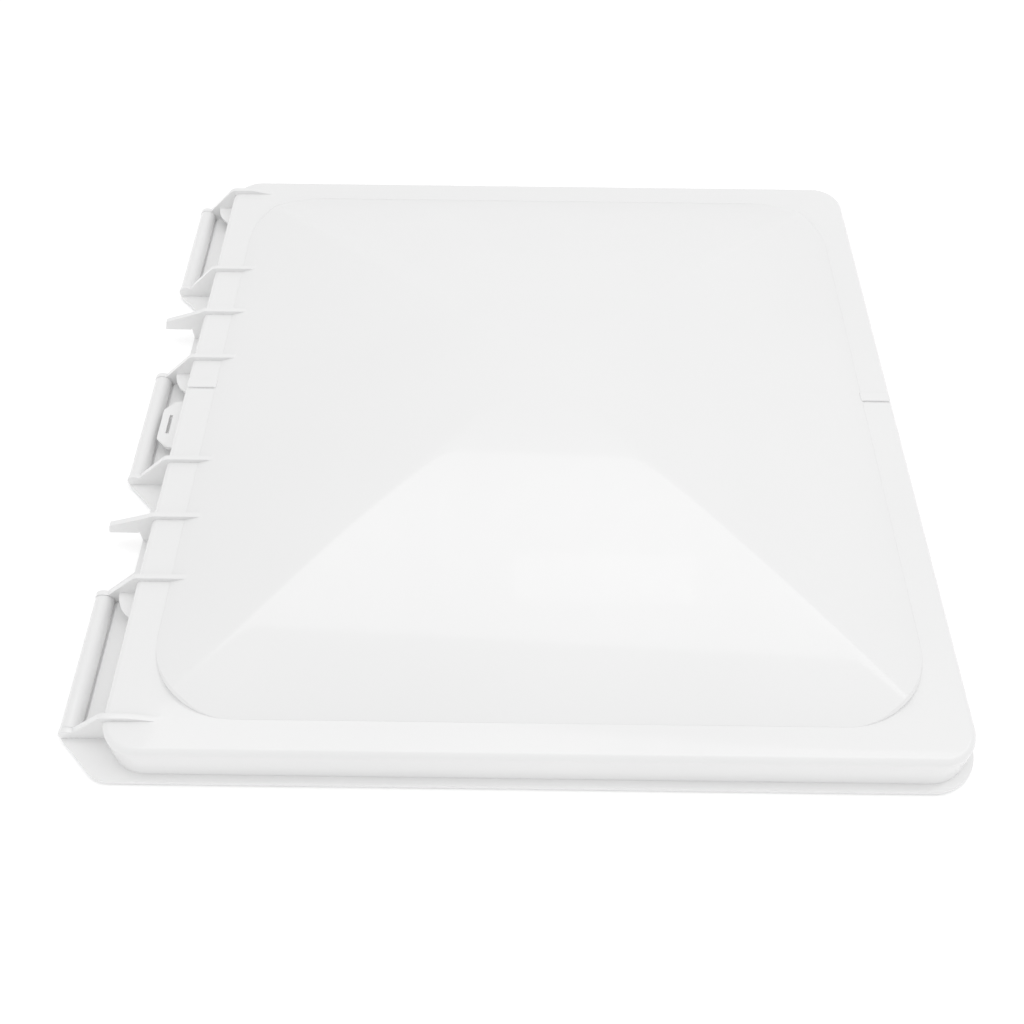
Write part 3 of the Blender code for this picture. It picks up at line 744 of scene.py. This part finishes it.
def make_rod(place, material):
    """A hinge rod: a barrel with broken edges, a journal at each end and a narrow flat underneath."""
    node = f"hinge_rod_{place}"
    low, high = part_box(node)
    length = high.y - low.y
    reach = POCKET_DEPTH - ROD_END_PLAY
    ease, nib = 0.0002, 0.0003
    half = [(0, 0), (JOURNAL_RADIUS - nib, 0), (JOURNAL_RADIUS, nib), (JOURNAL_RADIUS, reach)]
    half += [(ROD_RADIUS - ease, reach), (ROD_RADIUS - ease * 0.3, reach + ease * 0.3)]
    half += [(ROD_RADIUS, reach + ease)]
    steps = 24
    run = length - 2 * (reach + ease)
    barrel = [(ROD_RADIUS, reach + ease + run * i / steps) for i in range(1, steps)]
    profile = half + barrel + [(r, length - d) for r, d in half[::-1]]
    axis = Vector(((low.x + high.x) / 2, low.y, high.z - ROD_RADIUS))
    rod = turned("moulded_" + node, profile, axis, (0, 1, 0), 64)
    land = axis.z - sqrt(ROD_RADIUS**2 - (ROD_LAND / 2) ** 2)
    for vert in rod.data.vertices:
        vert.co.z = max(vert.co.z, land)
    shade(rod, 40.0)
    piece(rod, f"rod_{place}", "rod", material, node)


def make_seal(side, turn, material):
    """One side of the foam seal, mitred on the lid's diagonals, a little uneven as cut foam is."""
    node = f"seal_{side}"
    low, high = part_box(node)[0].z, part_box(node)[1].z
    outer, inner = SEAL_OUTER - SEAL_OUTER_CORNER, SEAL_INNER - SEAL_INNER_CORNER
    far = arc((-outer, outer), SEAL_OUTER_CORNER, 135, 180, 10)
    far += [(-SEAL_OUTER, outer * (1 - 2 * i / 70)) for i in range(1, 70)]
    far += arc((-outer, -outer), SEAL_OUTER_CORNER, 180, 225, 10)
    near = arc((-inner, inner), SEAL_INNER_CORNER, 135, 180, 10)
    near += [(-SEAL_INNER, inner * (1 - 2 * i / 70)) for i in range(1, 70)]
    near += arc((-inner, -inner), SEAL_INNER_CORNER, 180, 225, 10)
    mitre = GAP / sqrt(2)
    place = Matrix.Translation((LID_X, 0.0, 0.0)) @ Matrix.Rotation(turn * pi / 2, 4, "Z")
    section = rounded([(-1, -1), (1, -1), (1, 1), (-1, 1)], 0.16, 5)
    rings = []
    for (fx, fy), (nx, ny) in zip(far, near):
        middle = Vector(((fx + nx) / 2, (fy + ny) / 2))
        across = Vector((fx - nx, fy - ny)) / 2
        ring = []
        for s, t in section:
            x, y = middle + across * s
            y += -mitre if y > 0 else mitre
            rough = 0.00012 * noise.noise(Vector((x, y, t * 0.003)) * 260.0)
            z = (low + high) / 2 + (high - low) / 2 * t
            here = Vector((x, y, z))
            here += (Vector((*across.normalized() * s, 0)) + Vector((0, 0, t))) * (rough - 0.00012)
            ring.append(place @ here)
        rings.append(ring)
    seal = loft("foam_" + node, rings)
    shade(seal, 60.0)
    piece(seal, "lid", "seal", material, node)


# ---------------------------------------------------------------- lift rail and its fixings

def screw_places():
    """Where the rail's four screws stand, in the frame."""
    boxes = [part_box(f"rail_screw_{number}") for number in range(1, 5)]
    return [((low.x + high.x) / 2, (low.y + high.y) / 2) for low, high in boxes]


def make_rail(material):
    """The lift rail: a folded hat section with bend radii, a long slot and a punched hole at each screw."""
    low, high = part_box("lift_rail")
    sheet, web = 0.0015, 0.0125
    flange = high.y
    inside, outside = 0.0006, 0.0021
    corners = [(-web, low.z), (web, low.z), (web, high.z - sheet), (flange, high.z - sheet), (flange, high.z)]
    radii = [outside, outside, inside, 0, 0]
    corners += [(web - sheet, high.z), (web - sheet, low.z + sheet), (sheet - web, low.z + sheet)]
    radii += [outside, inside, inside]
    corners += [(sheet - web, high.z), (-flange, high.z), (-flange, high.z - sheet), (-web, high.z - sheet)]
    radii += [outside, 0, 0, inside]
    place = Matrix.Translation((LID_X, 0, 0)) @ LENGTHWAYS
    half = (high.x - low.x) / 2
    rail = drawn("folded_lift_rail", [rounded(corners, radii, 6)], -half, half, place, edge=0)
    slot_end, slot_half = 0.0705, 0.0045
    slot = arc((slot_end, 0.0), slot_half, -90, 90, 20) + arc((-slot_end, 0.0), slot_half, 90, 270, 20)
    at_lid = Matrix.Translation((LID_X, 0, 0))
    cutters = [drawn("slot", [slot], low.z - sheet, low.z + 2 * sheet, at_lid, edge=0)]
    for x, y in screw_places():
        hole = arc((x, y), 0.0024, 0, 352.5, 47)
        cutters.append(drawn("hole", [hole], high.z - 2 * sheet, high.z + sheet, edge=0))
    for way in (-1, 1):
        for y_way in (-1, 1):
            corner = [(way * half, y_way * flange), (way * (half - 0.004), y_way * flange)]
            corner += [(way * half, y_way * (flange - 0.004))]
            corner = [(x + (x - way * half) * 0.01, y) for x, y in corner]
            grown = [(x + way * 0.0008, y + y_way * 0.0008) for x, y in corner]
            cutters.append(drawn("corner", [grown], high.z - 2 * sheet, high.z + sheet, at_lid, edge=0))
    combine(rail, cutters, "DIFFERENCE")
    bevel(rail, 0.00018, 2, 40.0)
    shade(rail, 40.0)
    piece(rail, "lid", "rail", material, "lift_rail")


def make_washer(number, material):
    """A punched washer: rolled over on its upper edge, with a slight burr below."""
    node = f"rail_washer_{number}"
    low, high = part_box(node)
    radius, thick = (high.x - low.x) / 2, high.z - low.z
    bore, roll = 0.0024, 0.0002
    profile = [(bore, roll), (bore + roll, 0), (radius - roll, 0)]
    profile += [(radius - roll * 0.3, roll * 0.3), (radius, roll)]
    profile += [(radius, thick - roll / 2), (radius - roll / 2, thick)]
    profile += [(bore + roll / 2, thick), (bore, thick - roll / 2)]
    x, y = screw_places()[number - 1]
    washer = turned("punched_" + node, profile, (x, y, low.z), (0, 0, 1), 56, ring_of_rings=True)
    shade(washer, 50.0)
    piece(washer, "lid", "washer", material, node)


def make_screw(number, material):
    """A pan-head tapping screw: crowned head with a cross recess, and a rolled thread to a blunt point."""
    node = f"rail_screw_{number}"
    low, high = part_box(node)
    x, y = screw_places()[number - 1]
    head, tall, shank = (high.x - low.x) / 2, 0.0026, 0.0020
    seat = low.z + tall
    crown = [(0, 0)] + [(head * 0.62 * i / 4, tall * 0.045 * i * i / 16) for i in range(1, 5)]
    crown += [(head - tall * 0.42 * (1 - sin(a)), tall * (0.5 - 0.455 * cos(a))) for a in
              [radians(18 * i) for i in range(1, 6)]]
    crown += [(head, tall * 0.8), (head - 0.0002, tall), (shank, tall)]
    turns, rows = 48, 110
    pitch, depth, tip = 0.0014, 0.00045, high.z
    profile_rings = []
    around = [2 * pi * i / turns for i in range(turns)]
    for radius, distance in crown:
        if radius == 0:
            profile_rings.append([(x, y, low.z)])
            continue
        profile_rings.append([(x + radius * cos(a), y + radius * sin(a), low.z + distance) for a in around])
    for row in range(1, rows + 1):
        z = seat + (tip - seat) * row / rows
        narrowing = min(1.0, (tip - z) / 0.0022 + 0.25)
        ring = []
        for i in range(turns):
            a = 2 * pi * i / turns
            phase = (z - seat) / pitch - i / turns
            crest = max(0.0, 1 - abs(phase - floor(phase) - 0.5) * 3.2)
            fade = min(1.0, (z - seat) / 0.0012)
            radius = (shank - depth + depth * crest * fade) * narrowing
            ring.append((x + radius * cos(a), y + radius * sin(a), z))
        profile_rings.append(ring)
    screw = loft("pan_head_" + node, profile_rings)
    wide, long, deep, above = 0.00042, 0.0019, 0.0016, 0.0006
    cutters = []
    for quarter in (0, 1):
        place = Matrix.Translation((x, y, low.z)) @ Matrix.Rotation(quarter * pi / 2 + 0.4 * number, 4, "Z")
        side = [(long, -above), (long * 0.93, 0.0), (long * 0.42, deep)]
        reach = side + [(-along, down) for along, down in side[::-1]]
        place = place @ Matrix.Rotation(radians(90), 4, "X")
        cutters.append(drawn("recess", [reach], -wide, wide, place, edge=0))
    combine(screw, cutters, "DIFFERENCE")
    shade(screw, 34.0)
    piece(screw, "lid", "screw", material, node)


# ---------------------------------------------------------------- slide shoe, pin and clip

def make_shoe(material):
    """The slide shoe: a block in the rail, a neck through its slot and a rounded clevis below it."""
    low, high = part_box("slide_shoe")
    pin_low, pin_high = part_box("arm_pin")
    pin_z = (pin_low.z + pin_high.z) / 2
    x = (low.x + high.x) / 2
    rail_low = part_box("lift_rail")[0].z
    length, width = (high.x - low.x) / 2, (high.y - low.y) / 2
    at = Matrix.Translation((x, 0.0, 0.0))
    edge = 0.0005

    def block(name, half_x, half_y, bottom, top, corner, rounding):
        corners = [(-half_x, -half_y), (half_x, -half_y), (half_x, half_y), (-half_x, half_y)]
        return drawn(name, [rounded(corners, corner, 6)], bottom, top, at, rounding)

    clevis_top, crown = rail_low - 0.0005, 0.0135
    shoe = block("moulded_slide_shoe", length, width, rail_low + 0.0018, high.z, 0.0022, edge)
    neck = block("neck", length - WALL, 0.0040, clevis_top - 0.001, rail_low + 0.0026, 0.0020, 0)
    half, ear_half, gap_half = 0.0080, 0.0095, 0.0052
    ear = [(half, clevis_top), (-half, clevis_top)] + arc((0.0, pin_z), half, 180, 360, 32)
    sideways = at @ Matrix.Rotation(radians(90), 4, "X")
    clevis = drawn("clevis", [ear], -ear_half, ear_half, sideways, edge)
    combine(shoe, [neck, clevis], "UNION")
    fork = rounded([(-gap_half, -0.01), (gap_half, -0.01), (gap_half, crown), (-gap_half, crown)],
                   [0, 0, 0.0012, 0.0012], 5)
    lengthways = at @ LENGTHWAYS
    cutters = [drawn("fork", [fork], -2 * half, 2 * half, lengthways, edge=0)]
    bore = arc((0.0, pin_z), 0.0028, 0, 354, 59)
    cutters.append(drawn("bore", [bore], -2 * ear_half, 2 * ear_half, sideways, edge=0))
    pocket = rounded([(-0.0085, -0.0065), (0.0085, -0.0065), (0.0085, 0.0065), (-0.0085, 0.0065)], 0.0015, 5)
    cutters.append(drawn("core", [pocket], high.z - 0.0022, high.z + 0.002, at, edge=0))
    combine(shoe, cutters, "DIFFERENCE")
    shade(shoe, 34.0)
    piece(shoe, "shoe", "shoe", material, "slide_shoe")


def make_pin(material):
    """The pivot pin: a flat head with a broken edge, a groove for the clip and a chamfered tail."""
    low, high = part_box("arm_pin")
    head, stem = (high.x - low.x) / 2, 0.0025
    thick, break_edge = 0.0018, 0.0003
    length = high.y - low.y
    clip_low, clip_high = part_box("pin_clip")
    groove = (high.y - clip_high.y - 0.00008, high.y - clip_low.y + 0.00008)
    axis = Vector(((low.x + high.x) / 2, high.y, (low.z + high.z) / 2))
    profile = [(0, 0), (head - 0.0006, 0), (head - 0.0002, 0.00012), (head, 0.0005)]
    profile += [(head, thick - break_edge)]
    profile += [(head - break_edge, thick), (stem + 0.0002, thick), (stem, thick + 0.0002)]
    profile += [(stem, groove[0]), (stem - 0.0004, groove[0]), (stem - 0.0004, groove[1]), (stem, groove[1])]
    profile += [(stem, length - 0.0006), (stem - 0.0006, length), (0, length)]
    pin = turned("turned_arm_pin", profile, axis, (0, -1, 0), 56)
    shade(pin, 30.0)
    piece(pin, "pin", "pin", material, "arm_pin")


def make_clip(material):
    """The retaining clip: an open ring with three inward prongs."""
    low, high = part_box("pin_clip")
    pin_low, pin_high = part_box("arm_pin")
    radius = (high.x - low.x) / 2
    x, z = (low.x + high.x) / 2, (pin_low.z + pin_high.z) / 2
    mouth = 24.0
    ring = arc((0.0, 0.0), radius, mouth - 90, 270 - mouth, 60)
    steps, touch, relief = 90, 0.00218, 0.0032
    prongs = (90.0, 212.0, -32.0)
    for i in range(steps + 1):
        a = 270 - mouth - (360 - 2 * mouth) * i / steps
        nearest = min(abs((a - p + 180) % 360 - 180) for p in prongs)
        share = min(max((nearest - 14.0) / 16.0, 0.0), 1.0)
        reach = touch + (relief - touch) * share * share * (3 - 2 * share)
        ring.append((reach * cos(radians(a)), reach * sin(radians(a))))
    place = Matrix.Translation((x, (low.y + high.y) / 2, z)) @ Matrix.Rotation(radians(90), 4, "X")
    thick = high.y - low.y
    clip = drawn("spring_pin_clip", [ring], -thick / 2, thick / 2, place, edge=0.0001)
    shade(clip, 34.0)
    piece(clip, "pin", "clip", material, "pin_clip")


# ---------------------------------------------------------------- studio

CAMERA_PLACE = (-0.0024, -0.3678, 0.4611)
CAMERA_TURN = (34.705, -0.331, 0.652)
CAMERA_LENS = 36.524

FLOOR_RADIUS = 4.0
FLOOR_THICK = 0.01
FLOOR_BELOW = 0.0004
FLOOR_GLOW = 0.12
TENT_STRENGTH = 0.84


def make_camera():
    data = bpy.data.cameras.new("camera")
    data.lens = CAMERA_LENS
    data.sensor_width = 36.0
    camera = bpy.data.objects.new("camera", data)
    camera.location = CAMERA_PLACE
    camera.rotation_euler = Euler([radians(turn) for turn in CAMERA_TURN], "XYZ")
    bpy.context.scene.collection.objects.link(camera)
    bpy.context.scene.camera = camera


def make_floor():
    """A plain pale floor, a wide disc."""
    profile = [(0, 0), (FLOOR_RADIUS, 0), (FLOOR_RADIUS, -FLOOR_THICK), (0, -FLOOR_THICK)]
    floor_disc = turned("studio_floor", profile, (0, 0, -FLOOR_BELOW), (0, 0, 1), 96)
    paint = Surface("floor_paint", Specular_IOR_Level=0.1)
    paint.colour(paint.blend(paint.noise(3.0), (0.955, 0.955, 0.955), (0.965, 0.965, 0.965)))
    paint.roughness(paint.spread(paint.noise(40.0), 0.85, 0.95))
    paint.shader.inputs["Emission Color"].default_value = (1.0, 1.0, 1.0, 1.0)
    paint.shader.inputs["Emission Strength"].default_value = FLOOR_GLOW
    floor_disc.data.materials.append(paint.material)


def soft_box(name, place, aim, width, height, radiance, turn=0.0):
    """A rectangular soft box, turned on its own axis; its power follows from how bright its face is."""
    data = bpy.data.lights.new(name, "AREA")
    data.shape = "RECTANGLE"
    data.size, data.size_y = width, height
    data.energy = radiance * pi * width * height
    light = bpy.data.objects.new(name, data)
    light.location = place
    facing = (Vector(aim) - Vector(place)).to_track_quat("-Z", "Y")
    light.rotation_euler = (facing @ Quaternion((0, 0, 1), radians(turn))).to_euler()
    bpy.context.scene.collection.objects.link(light)


def make_studio():
    """A white tent and a wide soft box overhead, turned a little, with a small lamp just below it."""
    world = bpy.data.worlds.new("tent")
    world.use_nodes = True
    world.node_tree.nodes["Background"].inputs["Color"].default_value = (1.0, 1.0, 1.0, 1.0)
    world.node_tree.nodes["Background"].inputs["Strength"].default_value = TENT_STRENGTH
    bpy.context.scene.world = world
    soft_box("overhead", (0.30, 0.035, 1.30), (0.30, 0.035, 0.0), 1.90, 0.61, 1.25, turn=-4.0)
    soft_box("lamp", (0.15, -0.07, 1.28), (0.15, -0.07, 0.0), 0.30, 0.14, 0.6)
    bpy.context.scene.view_settings.view_transform = "Standard"


# ---------------------------------------------------------------- the object

def main():
    lid_white = moulded_white("lid_polypropylene", (0.845, 0.845, 0.845), 0.34)
    rod_white = moulded_white("rod_polypropylene", (0.835, 0.835, 0.835), 0.35)
    foam = closed_cell_foam()
    galvanised = galvanised_sheet()
    washer_zinc = zinc_plate("washer_zinc", (0.70, 0.70, 0.69))
    screw_zinc = zinc_plate("screw_zinc", (0.72, 0.71, 0.67))
    make_lid(lid_white)
    for place in BAYS:
        make_rod(place, rod_white)
    for turn, side in enumerate(("hinge_side", "front", "latch_side", "rear")):
        make_seal(side, turn, foam)
    make_rail(galvanised)
    for number in range(1, 5):
        make_washer(number, washer_zinc)
        make_screw(number, screw_zinc)
    make_shoe(natural_nylon())
    make_pin(turned_steel())
    make_clip(spring_steel())
    make_camera()
    make_floor()
    make_studio()


main()
